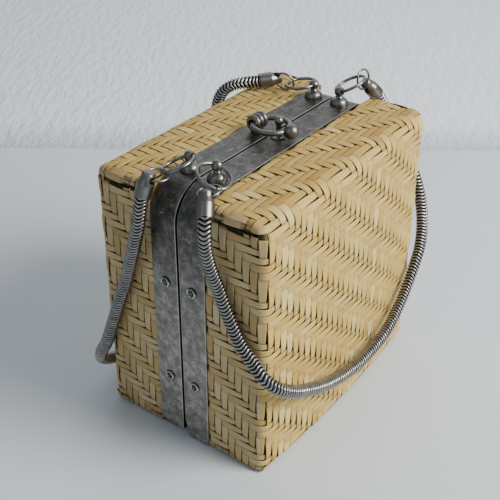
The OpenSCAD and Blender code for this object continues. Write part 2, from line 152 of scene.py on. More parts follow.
def objectPlace(tree):
    return addNode(tree, "ShaderNodeTexCoord").outputs["Object"]


def splitPlace(tree, place):
    made = addNode(tree, "ShaderNodeSeparateXYZ")
    link(tree, place, made.inputs[0])
    return made.outputs


# A colour ramp from (place, colour) pairs
def addRamp(tree, fac, stops):
    made = addNode(tree, "ShaderNodeValToRGB")
    ramp = made.color_ramp
    while len(ramp.elements) < len(stops):
        ramp.elements.new(1.0)
    for element, (place, colour) in zip(ramp.elements, stops):
        element.position = place
        element.color = (*colour, 1.0)
    link(tree, fac, made.inputs["Fac"])
    return made.outputs["Color"]


# A value spread from one range over another, and held at its ends
def addRange(tree, value, source, target=(0.0, 1.0)):
    made = addNode(tree, "ShaderNodeMapRange")
    for key, number in zip(("From Min", "From Max", "To Min", "To Max"), (*source, *target)):
        made.inputs[key].default_value = number
    link(tree, value, made.inputs["Value"])
    return made.outputs["Result"]


def addMath(tree, kind, a, b=0.0):
    made = addNode(tree, "ShaderNodeMath", operation=kind)
    for socket, value in zip(made.inputs, (a, b)):
        if isinstance(value, (int, float)):
            socket.default_value = value
        else:
            link(tree, value, socket)
    return made.outputs[0]


def addProduct(tree, first, *others):
    for other in others:
        first = addMath(tree, "MULTIPLY", first, other)
    return first


# Mix of two colours; each may be a socket or a plain colour
def addMix(tree, kind, fac, a, b):
    made = addNode(tree, "ShaderNodeMix", data_type="RGBA", blend_type=kind)
    for socket, value in zip((made.inputs[0], made.inputs[6], made.inputs[7]), (fac, a, b)):
        if isinstance(value, (int, float)):
            socket.default_value = value
        elif isinstance(value, tuple):
            socket.default_value = (*value, 1.0)
        else:
            link(tree, value, socket)
    return made.outputs[2]


def addNoise(tree, vector, scale, detail=3.0, rough=0.55, distortion=0.0):
    made = addNode(tree, "ShaderNodeTexNoise", Scale=scale, Detail=detail, Roughness=rough)
    made.inputs["Distortion"].default_value = distortion
    link(tree, vector, made.inputs["Vector"])
    return made.outputs["Fac"]


def addStretch(tree, vector, scale, turn=(0, 0, 0)):
    made = addNode(tree, "ShaderNodeMapping", Scale=scale, Rotation=turn)
    link(tree, vector, made.inputs["Vector"])
    return made.outputs["Vector"]


def addBump(tree, shader, height, strength, distance):
    made = addNode(tree, "ShaderNodeBump", Strength=strength, Distance=distance)
    link(tree, height, made.inputs["Height"])
    link(tree, made.outputs["Normal"], shader.inputs["Normal"])


def mark(tree, name):
    return addNode(tree, "ShaderNodeAttribute", attribute_name=name).outputs["Fac"]


noiseRange = (0.3, 0.7)  # where most of a noise's values lie
sumRange = (0.6, 1.4)  # the same for the sum of two noises

# Bamboo: straw colour by strip, grain along the strip, and painted shade where a strip dives under another.
# Painted shade by place: the ends are greyer and bluer, and the top deeper in colour
bambooLook = dict(
    tones=[
        (0.0, (0.42, 0.25, 0.052)), (0.12, (0.465, 0.30, 0.07)), (0.45, (0.52, 0.357, 0.097)),
        (0.8, (0.57, 0.41, 0.123)), (1.0, (0.63, 0.487, 0.185)),
    ],
    endZone=(0.0738, 0.0752), endShadeTint=(0.94, 1.0, 1.7), topZone=(0.147, 0.1495), topShadeTint=(0.87, 0.84, 0.81),
    grain=(0.05, 9.0, 1.0), grainNoise=(1.0, 4.0, 0.6), grainLight=(0.86, 1.1),
    streak=(0.09, 2.2, 1.0), streakNoise=(1.0, 2.0), streakLight=(0.9, 1.08),
    cloud=(38.0, 2.0), cloudLight=(0.94, 1.05), dive=(-0.85, 0.55), diveShade=(0.06, 1.0),
    rough=(0.5, 0.62), specular=0.32, bump=(0.35, 0.00012),
)


def bambooMaterial():
    look = bambooLook
    made, tree, shader = newMaterial("bamboo")
    along = addNode(tree, "ShaderNodeUVMap", uv_map="along").outputs["UV"]
    place = objectPlace(tree)
    axes = splitPlace(tree, place)
    base = addRamp(tree, mark(tree, "tone"), look["tones"])
    # Painted shade: a deeper colour on the top, and a greyer, bluer one on the ends
    onTop = addRange(tree, axes["Z"], look["topZone"])
    base = addMix(tree, "MULTIPLY", onTop, base, look["topShadeTint"])
    atEnd = addRange(tree, addMath(tree, "ABSOLUTE", axes["X"]), look["endZone"])
    base = addMix(tree, "MULTIPLY", atEnd, base, look["endShadeTint"])
    grain = addNoise(tree, addStretch(tree, along, look["grain"]), *look["grainNoise"])
    streak = addNoise(tree, addStretch(tree, along, look["streak"]), *look["streakNoise"])
    cloud = addNoise(tree, place, *look["cloud"])
    light = addProduct(
        tree,
        addRange(tree, grain, noiseRange, look["grainLight"]),
        addRange(tree, streak, noiseRange, look["streakLight"]),
        addRange(tree, cloud, noiseRange, look["cloudLight"]),
        # Painted shade where a strip dives under another, by its height
        addRange(tree, mark(tree, "over"), look["dive"], look["diveShade"]),
    )
    link(tree, addMix(tree, "MULTIPLY", 1.0, base, light), shader.inputs["Base Color"])
    link(tree, addRange(tree, grain, noiseRange, look["rough"]), shader.inputs["Roughness"])
    shader.inputs["Specular IOR Level"].default_value = look["specular"]
    addBump(tree, shader, grain, *look["bump"])
    return made


# Dull metal of the bands: mottled, with fine scratches two ways, worn bright outer edges, and a painted
# highlight and painted shade along the seam.
# The shade is a list of (share of the band's height, shade): lighter low down, where the band is worn, and
# painted shade on the darker upper part
bandLook = dict(
    cloud=(240.0, 6.0, 0.74), fine=(900, 900, 90), fineNoise=(1.0, 3.0), scratchNoise=(1.0, 2.0, 0.5, 0.6),
    mottle=[(0.32, (0.09, 0.086, 0.077)), (0.5, (0.16, 0.153, 0.139)), (0.68, (0.3, 0.287, 0.26))],
    scratches=[
        dict(scale=(150, 1700, 420), turn=(0.5, 0.7, 0.4), seen=(0.66, 0.7)),
        dict(scale=(1500, 190, 300), turn=(0.9, 0.2, 0.8), seen=(0.67, 0.71)),
    ],
    scratched=0.36, scratchColour=(0.66, 0.65, 0.63),
    height=0.152, shade=[(0.0, 2.0), (0.4, 1.6), (0.68, 1.1), (0.82, 0.6), (0.96, 0.64), (0.99, 0.7)],
    # The edge mark's bright side is edge wear and a painted highlight, its dark side painted shade into the
    # seam
    wornAndHighlit=(0, 1), wornHighlightColour=(0.6, 0.59, 0.57), seam=(0, -0.6), seamShadeColour=(0.012, 0.012, 0.011),
    rough=(0.36, 0.52), polish=0.15, fineHeight=0.4, scratchHeight=-0.6, bump=(0.3, 0.00006),
)


def bandMaterial(name, wornAndHighlit):
    look = bandLook
    made, tree, shader = newMaterial(name)
    place = objectPlace(tree)
    cloud = addNoise(tree, place, *look["cloud"])
    fine = addNoise(tree, addStretch(tree, place, look["fine"]), *look["fineNoise"])
    scratches = []
    for scratch in look["scratches"]:
        stretched = addStretch(tree, place, scratch["scale"], scratch["turn"])
        scratches.append(addRange(tree, addNoise(tree, stretched, *look["scratchNoise"]), scratch["seen"]))
    lines = addMath(tree, "MAXIMUM", *scratches)
    base = addRamp(tree, cloud, look["mottle"])
    # Lighter low down where the band is worn, and painted shade on the darker upper part
    high = addRange(tree, splitPlace(tree, place)["Z"], (0.0, look["height"]))
    # The ramp holds half of the shade and is added to itself, so that its colours stay between 0 and 1
    halfShade = addRamp(tree, high, [(share, (shade / 2,) * 3) for share, shade in look["shade"]])
    base = addMix(tree, "MULTIPLY", 1.0, base, addMix(tree, "ADD", 1.0, halfShade, halfShade))
    base = addMix(tree, "MIX", addProduct(tree, lines, look["scratched"]), base, look["scratchColour"])
    rough = addRange(tree, addMath(tree, "ADD", cloud, fine), sumRange, look["rough"])
    if wornAndHighlit:
        # Worn bright outer edges, and a painted highlight and painted shade along the seam, from the edge
        # mark
        edge = mark(tree, "edge")
        base = addMix(tree, "MIX", addRange(tree, edge, look["wornAndHighlit"]), base, look["wornHighlightColour"])
        base = addMix(tree, "MIX", addRange(tree, edge, look["seam"]), base, look["seamShadeColour"])
        rough = addMath(tree, "SUBTRACT", rough, addProduct(tree, edge, look["polish"]))
    link(tree, base, shader.inputs["Base Color"])
    shader.inputs["Metallic"].default_value = 1.0
    link(tree, rough, shader.inputs["Roughness"])
    fineHeight = addProduct(tree, fine, look["fineHeight"])
    scratchHeight = addProduct(tree, lines, look["scratchHeight"])
    addBump(tree, shader, addMath(tree, "ADD", fineHeight, scratchHeight), *look["bump"])
    return made


# Worn polish of the fittings: bright metal with dull grey clouds, rougher by the same clouds
fittingLook = dict(
    cloud=(260.0, 4.0, 0.6), fine=(1900.0, 2.0), mottle=[(0.3, 0.8), (0.55, 1.0), (0.8, 1.12)], dulled=0.14,
    bump=(0.12, 0.00004),
)
castPolish = dict(bright=(0.205, 0.198, 0.183), rough=0.28)
wirePolish = dict(bright=(0.24, 0.235, 0.222), rough=0.25)


def fittingMaterial(name, bright, rough):
    look = fittingLook
    made, tree, shader = newMaterial(name)
    place = objectPlace(tree)
    cloud = addNoise(tree, place, *look["cloud"])
    fine = addNoise(tree, place, *look["fine"])
    stops = [(at, tuple(share * c for c in bright)) for at, share in look["mottle"]]
    link(tree, addRamp(tree, cloud, stops), shader.inputs["Base Color"])
    shader.inputs["Metallic"].default_value = 1.0
    dull = addRange(tree, addMath(tree, "ADD", cloud, fine), sumRange, (rough + look["dulled"], rough))
    link(tree, dull, shader.inputs["Roughness"])
    addBump(tree, shader, fine, *look["bump"])
    return made


# Dished rivets, by the distance from the nearest rivet's middle: painted shade in the dish and round the
# head's edge, a painted highlight on the rim and a small one in the middle.
# The middles lie at one distance from the seam, the lowest at low and the others a pitch apart
rivetLook = dict(
    fromSeam=0.0083, low=0.038, pitch=0.06, head=0.003, noise=700.0, rough=(0.16, 0.3),
    rings=[
        (0.0, (0.2, 0.198, 0.19)), (0.3, (0.05, 0.05, 0.048)), (0.52, (0.06, 0.06, 0.057)),
        (0.68, (0.5, 0.49, 0.47)), (0.88, (0.4, 0.39, 0.375)), (1.0, (0.05, 0.05, 0.048)),
    ],
)


def rivetMaterial():
    look = rivetLook
    made, tree, shader = newMaterial("rivetMetal")
    place = objectPlace(tree)
    axes = splitPlace(tree, place)
    y = addMath(tree, "SUBTRACT", addMath(tree, "ABSOLUTE", axes["Y"]), look["fromSeam"])
    raised = addMath(tree, "ADD", axes["Z"], 1.5 * look["pitch"] - look["low"])
    z = addMath(tree, "SUBTRACT", addMath(tree, "MODULO", raised, look["pitch"]), look["pitch"] / 2)
    square = addMath(tree, "ADD", addProduct(tree, y, y), addProduct(tree, z, z))
    ring = addRange(tree, addMath(tree, "SQRT", square), (0.0, look["head"]))
    # Painted shade and painted highlights in rings
    link(tree, addRamp(tree, ring, look["rings"]), shader.inputs["Base Color"])
    shader.inputs["Metallic"].default_value = 1.0
    rough = addRange(tree, addNoise(tree, place, look["noise"]), noiseRange, look["rough"])
    link(tree, rough, shader.inputs["Roughness"])
    return made


# Chain: bright bars, painted shade in the grooves
chainLook = dict(
    cloud=300.0, bars=[(0.3, (0.26, 0.25, 0.233)), (0.7, (0.46, 0.446, 0.42))],
    grooveShade=(0.15, 0.75), grooveShadeColour=(0.012, 0.012, 0.012), rough=(0.3, 0.8),
)


def chainMaterial():
    look = chainLook
    made, tree, shader = newMaterial("chain")
    bright = addRamp(tree, addNoise(tree, objectPlace(tree), look["cloud"]), look["bars"])
    # Painted shade in the grooves, by row
    dark = addRange(tree, mark(tree, "grooveShade"), look["grooveShade"])
    link(tree, addMix(tree, "MIX", dark, bright, look["grooveShadeColour"]), shader.inputs["Base Color"])
    link(tree, addRange(tree, dark, (0, 1), look["rough"]), shader.inputs["Roughness"])
    shader.inputs["Metallic"].default_value = 1.0
    return made


bamboo = bambooMaterial()
bandMetal = bandMaterial("bandMetal", True)
sheetMetal = bandMaterial("sheetMetal", False)
fittingMetal = fittingMaterial("fittingMetal", **castPolish)
wireMetal = fittingMaterial("wireMetal", **wirePolish)
rivetMetal = rivetMaterial()
chainMetal = chainMaterial()
print("materials done")


# Snake chains, in millimetres: a tube about its route whose links are zigzag rings. Each link has one row of
# points for each number in shape, which is added to the radius, and in the groove list, which says how dark
# the row is painted: painted shade in the grooves
chain = dict(
    radius=3.5, pitch=1.92, around=36, teeth=3, lean=0.6, turn=0.45,
    steps=24, pathEvery=4, firstSide=(0.3, 1, 0.2),
    shape=np.array([-0.9, -0.85, -0.35, -0.02, 0.0, -0.12, -0.55]),
    grooveShade=np.array([1.0, 0.9, 0.42, 0.02, 0.0, 0.1, 0.7]),
)
rearRoute = [
    (-81.2, 14, 149.8), (-82.4, 15, 145), (-83.2, 15.8, 138), (-83.4, 17.5, 129.5), (-83, 20.5, 120),
    (-82, 24, 110.5), (-81, 28, 100.5), (-80, 32, 90), (-80, 36.5, 79), (-80, 41, 67), (-80, 45.5, 55),
    (-80, 50, 43.5), (-79.5, 55.5, 33.5), (-76, 60, 25), (-69, 62.5, 18), (-58.5, 63.5, 13),
    (-46, 63.5, 10.5), (-33, 63.5, 11), (-20.5, 63, 14.5), (-9, 62.5, 21), (1, 62, 30),
    (9.5, 61.5, 40.5), (16.5, 61, 52), (22, 60.5, 64.5), (26, 60, 77.5), (29, 60, 91), (31, 60, 104.5),
    (32, 60.5, 118), (32.5, 60.5, 131), (33, 59.5, 142), (34, 56, 149.5), (36, 50.5, 154),
    (39, 44.5, 155.8), (43.4, 39.7, 156.2), (47, 36.5, 156.6),
]
frontRoute = [
    (-81.3, -22.3, 151), (-83.6, -23.9, 148.2), (-85.6, -25, 143.8), (-86.2, -25.4, 138.5),
    (-85.6, -25.8, 131.5), (-83.8, -27, 122), (-81.5, -29, 112.5), (-80.5, -32, 102.5), (-80, -36, 93),
    (-80, -41, 84), (-80, -48, 76.5), (-80.5, -55, 70.5), (-76.5, -60, 64.5), (-68, -62, 57.5),
    (-57, -62.5, 50.5), (-44.5, -63, 44), (-30.5, -63, 38), (-15.5, -63, 33.5), (0, -63, 31),
    (16, -62.5, 30.5), (32, -62, 32.5), (46, -60.5, 37), (58.5, -59, 44), (69, -57.5, 53),
    (77, -56.5, 64), (80.5, -55, 76), (81, -53, 88), (81.5, -49.5, 99), (82.5, -44.5, 108.5),
    (84, -37.5, 116.5), (85.5, -30.5, 123.5), (86.5, -24.5, 131), (86.5, -20.5, 139), (85.2, -19, 144.5),
    (82.6, -17.5, 149), (79.7, -16, 152.3),
]


# A smooth line through the route: cubic pieces, with half the step between its neighbours as a point's slope.
# Gives the line and the length run at each of its points
def smoothLine(route):
    steps = chain["steps"]
    p = np.array(route, dtype=float)
    q = np.vstack([2 * p[0] - p[1], p, 2 * p[-1] - p[-2]])
    t = (np.arange(steps) / steps)[None, :, None]
    a, b, c, d = (q[k:len(q) - 3 + k, None] for k in range(4))
    square, cube = 2 * a - 5 * b + 4 * c - d, 3 * b - a - 3 * c + d
    line = 0.5 * (2 * b + (c - a) * t + square * t ** 2 + cube * t ** 3)
    line = np.vstack([line.reshape(-1, 3), p[-1:]])
    run = np.concatenate([[0], np.cumsum(np.linalg.norm(np.diff(line, axis=0), axis=1))])
    return line, run


# Side directions carried along a line without twist, found at its route points and spread between them
def sideLines(line):
    ahead = unit(np.gradient(line, axis=0))
    atPoints = ahead[::chain["steps"]]
    side = [unit(np.cross(atPoints[0], chain["firstSide"]))]
    for way in atPoints[1:]:
        side.append(unit(side[-1] - way * np.dot(side[-1], way)))
    side = np.array(side)
    spots = np.arange(len(line)) / chain["steps"]
    side = np.stack([np.interp(spots, np.arange(len(side)), side[:, k]) for k in range(3)], 1)
    side = unit(side - ahead * np.sum(side * ahead, axis=1, keepdims=True))
    return side, np.cross(ahead, side)


# A point at angle a of a row at s lies on the route at s plus a triangle wave of a, at the row's radius
def addChain(half, route):
    line, run = smoothLine(route)
    side, other = sideLines(line)
    count = chain["around"]
    rows = int(round(run[-1] / chain["pitch"])) * len(chain["shape"]) + 1
    angle = np.arange(count)[None, :] * 2 * math.pi / count
    wave = np.abs((angle * chain["teeth"] / math.pi) % 2 - 1) - 0.5
    angle = (angle + chain["turn"])[..., None]
    s = np.clip(np.linspace(0, run[-1], rows)[:, None] + chain["lean"] * 2 * wave, 0, run[-1])
    r = chain["radius"] + np.resize(chain["shape"], rows)[:, None, None]
    middle, across, beside = (
        np.stack([np.interp(s, run, part[:, k]) for k in range(3)], -1) for part in (line, side, other)
    )
    points = middle + r * (np.cos(angle) * across + np.sin(angle) * beside)
    points = np.vstack([points.reshape(-1, 3), line[:1], line[-1:]])
    ring = np.arange(count)
    turned = np.roll(ring, -1)
    first, last = rows * count, (rows - 1) * count
    ends = [
        np.stack([np.full(count, first), turned, ring], 1),
        np.stack([np.full(count, first + 1), last + ring, last + turned], 1),
    ]
    # Painted shade of each row, full at the two end points
    dark = np.append(np.repeat(np.resize(chain["grooveShade"], rows), count), [1, 1])
    made = addMesh(f"{half}_snake", points, [gridQuads(rows, count)] + ends, marks={"grooveShade": dark})
    made.data.materials.append(chainMetal)
    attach(made, f"{half}_half")
    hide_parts(f"{half}_chain")


for half, route in (("rear", rearRoute), ("front", frontRoute)):
    addChain(half, route)
print("chains done")


# Woven halves, in millimetres. The wall is the sum of two lines: the plan line round face and ends, counted
# by u from the middle of the face, and the side line over bottom, face and top, counted by v from mid height.
# Pitch and count are the strips' spacing and how many of them there are on one side of the middle
basket = dict(
    halfWidth=75.0, depth=51.0, height=150.0,
    planRadius=4.0, ridgeRadius=8.0, footRadius=4.5, archRadius=17.9,
    facePitch=5.05, faceCount=14, endPitch=4.4, endCount=8,
    rowPitch=4.03, rowCount=19, topPitch=3.4, topCount=8, bottomCount=11, over=3,
    rim=2.0, footRim=4.3, bandEdge=16.5, bandGap=0.3,
    lowRow=3, highRow=2, cornerRows=2, pastCorner=1, bottomInset=0.6,
)
# Forward bulge of the faces. It fades upwards and towards the band, from and over shares of height and depth
bulge = dict(forward=3.6, lowFrom=0.25, lowOver=0.7, frontFrom=0.5, frontOver=0.4)
# Uprights of the ends: their upper ends below the top, and their feet, which lie even near the floor
endWall = dict(drop=7.0, underRidge=1, uneven=0.3, foot=0.8, evenHeight=0.3, evenTo=4, evenOver=3)
# The top's ends fold down over the end walls and hang to an uneven height
flap = dict(
    foldRadius=2.8, foldOut=1.4, low=147.0, wave=0.5, waveStep=0.9, waveStart=np.array([[0.4], [2.0]]),
    uneven=0.2, leastDrop=0.1, amber=0.2, evenHeight=0.4, evenOver=2,
    uprights=np.array([1, 1.6]), uprightsFrom=1.35,
)
# One strip: its section across and up, in half widths and thicknesses, and how it sinks under band and foot.
# On the two inner corners over and under change places
strip = dict(
    width=1.0, narrow=0.28, thick=0.5, amp=0.4, lift=0.08, flatness=4, floatPower=1.6, underPower=3,
    bandOver=2, bandSink=0.72, bandFlat=0.3, footOver=4, footSink=1.0, alongShift=997, acrossShift=61,
    section=np.array([
        (-1, 0.05), (-0.94, 0.4), (-0.76, 0.46), (0.76, 0.46), (0.94, 0.4), (1, 0.05),
        (0.9, -0.46), (-0.9, -0.46),
    ]),
    overSign=np.array([1, 1, 1, 1, 1, 1, -1, -1]),
    caps=np.array([(0, 1, 2, 3), (0, 3, 4, 7), (7, 4, 5, 6)]),
)
# Differences between strips: tone, change of width and sideways tilt. A few strips are amber
stripLook = dict(
    tone=0.5, toneSpread=0.24, toneEnds=(0.14, 1), amber=0.03, amberTones=(0, 0.12), wider=(-0.03, 0.012),
    tilt=(-0.07, 0.07), seed=4,
)
rng = np.random.default_rng(stripLook["seed"])


# Round corner of a line: straight for the first length, then an arc, then straight at right angles.
# Gives how far it has gone each way and the angle it has turned
def cornerLine(s, straight, radius):
    turn = np.clip((s - straight) / radius, 0, quarterTurn)
    after = np.maximum(s - straight - radius * quarterTurn, 0)
    return np.minimum(s, straight) + radius * np.sin(turn), radius * (1 - np.cos(turn)) + after, turn


# Point and outward direction of the front wall at u, v: plan line and side line added
def wallPoint(u, v):
    b = basket
    x, inPlan, turnPlan = cornerLine(np.abs(u), b["halfWidth"] - b["planRadius"], b["planRadius"])
    ridge = np.where(v < 0, b["footRadius"], b["ridgeRadius"])
    z, inSide, turnSide = cornerLine(np.abs(v), b["height"] / 2 - ridge, ridge)
    point = np.stack([np.sign(u) * x, inPlan + inSide - b["depth"], b["height"] / 2 + np.sign(v) * z], -1)
    level = np.cos(turnSide)
    out = [np.sign(u) * np.sin(turnPlan) * level, -np.cos(turnPlan) * level, np.sign(v) * np.sin(turnSide)]
    return point, np.stack(out, -1)


# Point and outward direction of the top sheet, whose ends fold down over the end walls
def topPoint(u, v):
    b = basket
    x, drop, turn = cornerLine(np.abs(u), foldStart, flap["foldRadius"])
    z, inSide, turnSide = cornerLine(np.abs(v), b["height"] / 2 - b["ridgeRadius"], b["ridgeRadius"])
    point = np.stack([np.sign(u) * x, inSide - b["depth"], b["height"] / 2 + np.sign(v) * (z - drop)], -1)
    level = np.cos(turn)
    out = [np.sign(u) * np.sin(turn), -np.cos(turnSide) * level, np.sign(v) * np.sin(turnSide) * level]
    return point, np.stack(out, -1)


# End wall: u counts along the plan line, v is plain height
def endPoint(u, v):
    point, out = wallPoint(u, 0 * v)
    point[..., 2] += v
    return point, out


# Bottom and its ridge: flat across the whole width
def bottomPoint(u, v):
    point, out = wallPoint(0 * u, v)
    point[..., 0] = u
    return point, out


# Length along a plan or side line at which it reaches the depth y from the seam
def reach(straight, radius, y):
    return straight + radius * quarterTurn + basket["depth"] - radius - y


# How far a round edge has dropped where the wall lies at the depth y
def roundDrop(y, radius):
    deep = np.maximum(np.abs(y) - (basket["depth"] - radius), 0)
    return radius - np.sqrt(radius ** 2 - deep ** 2)


# Lengths along the lines: ends of their straight stretches, and where strips end at rim, foot and band.
# A spacing is the pitch of the first strips, their count and the pitch beyond them
uSide = basket["halfWidth"] - basket["planRadius"]
vSide = basket["height"] / 2 - basket["ridgeRadius"]
uRim = reach(uSide, basket["planRadius"], basket["rim"])
uBand = reach(uSide, basket["planRadius"], basket["bandEdge"] + basket["bandGap"])
uCorner = uSide + basket["planRadius"] * quarterTurn + basket["pastCorner"]
vRim = reach(vSide, basket["ridgeRadius"], basket["rim"])
vFoot = reach(basket["height"] / 2 - basket["footRadius"], basket["footRadius"], basket["footRim"])
vBand = reach(vSide, basket["ridgeRadius"], basket["bandEdge"] + basket["bandGap"])
foldStart = basket["halfWidth"] + flap["foldOut"] - flap["foldRadius"]
archX = basket["halfWidth"] - basket["archRadius"]
archZ = basket["height"] - basket["archRadius"]
planSpacing = basket["facePitch"], basket["faceCount"], basket["endPitch"]
sideSpacing = basket["rowPitch"], basket["rowCount"], basket["topPitch"]


# Place of a strip by its number: one pitch for the first strips, another beyond them, the same both ways
def spot(number, first, count, second):
    far = np.maximum(np.abs(number) - count, 0)
    return np.sign(number) * (np.minimum(np.abs(number), count) * first + far * second)


# The number that belongs to a place
def numberAt(place, first, count, second):
    far = np.maximum(np.abs(place) - count * first, 0)
    return np.sign(place) * (np.minimum(np.abs(place), count * first) / first + far / second)


# Height of a strip: up for three crossings and down for three, flat in between
def twill(phase):
    t = phase % 1.0
    return np.where(phase % 2.0 < 1.0, 1.0, -1.0) * (1 - np.abs(2 * t - 1) ** strip["flatness"])


# How much a strip narrows: most where a float starts, nothing where it ends, and again on its way under
def wedge(phase):
    t = phase % 1.0
    return np.where(phase % 2.0 < 1.0, (1 - t) ** strip["floatPower"], t ** strip["underPower"])


# The face bulges forward: most in the middle low down, nothing at its sides, its top and near the band
def belly(point):
    x, y, z = (point[..., k] for k in range(3))
    low = 1 - smoothStep((z - bulge["lowFrom"] * basket["height"]) / (bulge["lowOver"] * basket["height"]))
    deep = np.abs(y) - bulge["frontFrom"] * basket["depth"]
    front = smoothStep(deep / (bulge["frontOver"] * basket["depth"]))
    forward = bulge["forward"] * np.clip(1 - (x / basket["halfWidth"]) ** 2, 0, 1) * low * front
    return point - np.stack([0 * x, forward, 0 * x], -1)


# Strips of one family as rows of samples: an eight-cornered section carried along each line.
# Its height over the wall is the lift plus the twill; it sinks under the band and under the bottom
def stripMesh(point, out, pitch, height, narrow, looks):
    strips, count = height.shape
    across, up = strip["section"].T
    point = belly(point)
    sideways = unit(np.cross(unit(np.gradient(point, axis=1)), out))
    near = smoothStep((basket["bandEdge"] + strip["bandOver"] - np.abs(point[..., 1])) / strip["bandOver"])
    low = smoothStep((strip["footOver"] - point[..., 2]) / strip["footOver"]) * np.clip(-out[..., 2], 0, 1)
    lift = strip["lift"] - np.maximum(strip["bandSink"] * near, strip["footSink"] * low)
    lift = lift + height * strip["amp"] * (1 - strip["bandFlat"] * near)
    half = pitch[:, None] / 2 * (strip["width"] + looks["wider"][:, None] - strip["narrow"] * narrow)
    wide = across * half[..., None]
    rise = lift[..., None] + up * strip["thick"] + across * looks["tilt"][:, None, None]
    points = point[:, :, None] + sideways[:, :, None] * wide[..., None] + out[:, :, None] * rise[..., None]
    step = np.linalg.norm(np.diff(point, axis=1), axis=-1)
    run = np.concatenate([np.zeros((strips, 1)), np.cumsum(step, axis=1)], axis=1)
    run = run + looks["shift"][:, None] * strip["alongShift"]
    spread = across + looks["shift"][:, None, None] * strip["acrossShift"]
    uv = np.stack(np.broadcast_arrays(run[:, :, None], spread), -1)
    corners = len(across)
    last = (count - 1) * corners
    one = np.vstack([gridQuads(count, corners), strip["caps"][:, ::-1], last + strip["caps"]])
    faces = (np.arange(strips)[:, None, None] * count * corners + one[None]).reshape(-1, 4)
    tones = np.broadcast_to(looks["tone"][:, None, None], (strips, count, corners))
    # Heights, which the bamboo turns into painted shade where a strip dives under. On the section's inner
    # corners they change sign, so that the inside's dives get the painted shade
    overs = height[:, :, None] * strip["overSign"]
    return points.reshape(-1, 3), faces, uv.reshape(-1, 2), tones.ravel(), overs.ravel()


# Tone, change of width, grain shift and sideways tilt of each strip
def stripLooks(count, amber=stripLook["amber"]):
    look = stripLook
    tone = np.clip(rng.normal(look["tone"], look["toneSpread"], count), *look["toneEnds"])
    tone = np.where(rng.random(count) < amber, rng.uniform(*look["amberTones"], count), tone)
    wider = rng.uniform(*look["wider"], count)
    shift = rng.random(count)
    return dict(tone=tone, wider=wider, shift=shift, tilt=rng.uniform(*look["tilt"], count))


# Parts are points, faces, places along the strip, tones and heights. Joined, a part's faces count on from
# the points of the parts before it
def joinParts(parts):
    points, faces, *others = zip(*parts)
    starts = np.cumsum([0] + [len(p) for p in points[:-1]])
    faces = [f + start for f, start in zip(faces, starts)]
    return tuple(np.concatenate(arrays) for arrays in (points, faces, *others))


# Even samples from low to high for each strip, about one for each millimetre of the longest
def samples(low, high):
    share = np.linspace(0, 1, int(np.max(high - low)) + 2)
    return low[:, None] + (high - low)[:, None] * share[None, :]


# Uprights by their numbers, from low to high along the side line
def upright(number, low, high, surface=wallPoint):
    low, high = np.broadcast_to(low, number.shape), np.broadcast_to(high, number.shape)
    v = samples(low, high)
    u = np.broadcast_to(spot(number, *planSpacing)[:, None], v.shape)
    phase = (numberAt(v, *sideSpacing) + number[:, None] + 0.5) / basket["over"]
    point, out = surface(u, v)
    pitch = np.where(np.abs(number) > basket["faceCount"], basket["endPitch"], basket["facePitch"])
    height = twill(phase)
    if surface is endPoint:
        even = smoothStep((low[:, None] + endWall["evenTo"] - v) / endWall["evenOver"])
        height = height + (endWall["evenHeight"] - height) * even
    return stripMesh(point, out, pitch, height, wedge(phase), stripLooks(len(number)))


# Crossers by their numbers, from low to high along the plan line
def crosser(number, low, high, surface=wallPoint, amber=stripLook["amber"]):
    low, high = np.broadcast_to(low, number.shape), np.broadcast_to(high, number.shape)
    u = samples(low, high)
    v = np.broadcast_to(spot(number, *sideSpacing)[:, None], u.shape)
    phase = (numberAt(u, *planSpacing) + number[:, None] + 0.5) / basket["over"]
    point, out = surface(u, v)
    pitch = np.where(np.abs(number) > basket["rowCount"], basket["topPitch"], basket["rowPitch"])
    height = -twill(phase)
    if surface is topPoint:
        even = smoothStep((np.abs(u) - basket["halfWidth"]) / flap["evenOver"])
        height = height + (flap["evenHeight"] - height) * even
    return stripMesh(point, out, pitch, height, wedge(-phase), stripLooks(len(number), amber))


# Uprights of face and top, which end at the rim or, beside the arch, at the band's edge, then those of the
# ends and of the fold
def uprightParts():
    b = basket
    face = np.arange(-b["faceCount"], b["faceCount"] + 1)
    under = np.abs(face * b["facePitch"]) < archX - b["facePitch"] / 2
    parts = [upright(face[under], -vFoot, vRim), upright(face[~under], -vFoot, vBand)]
    ends = np.arange(1, b["endCount"] + 1) + b["faceCount"]
    ends = np.concatenate([-ends[::-1], ends])
    y = wallPoint(spot(ends, *planSpacing), 0.0 * ends)[0][:, 1]
    underRidge = roundDrop(y, b["ridgeRadius"]) + endWall["underRidge"]
    tops = b["height"] / 2 - np.maximum(endWall["drop"], underRidge)
    tops = tops + rng.uniform(-endWall["uneven"], endWall["uneven"], len(ends))
    feet = -(b["height"] / 2 - endWall["foot"] - roundDrop(y, b["footRadius"]))
    parts.append(upright(ends, feet, tops, endPoint))
    fold = flap["uprights"] + b["faceCount"]
    fold = np.concatenate([-fold[::-1], fold])
    parts.append(upright(fold, vSide + b["ridgeRadius"] * flap["uprightsFrom"], vBand, topPoint))
    return joinParts(parts)


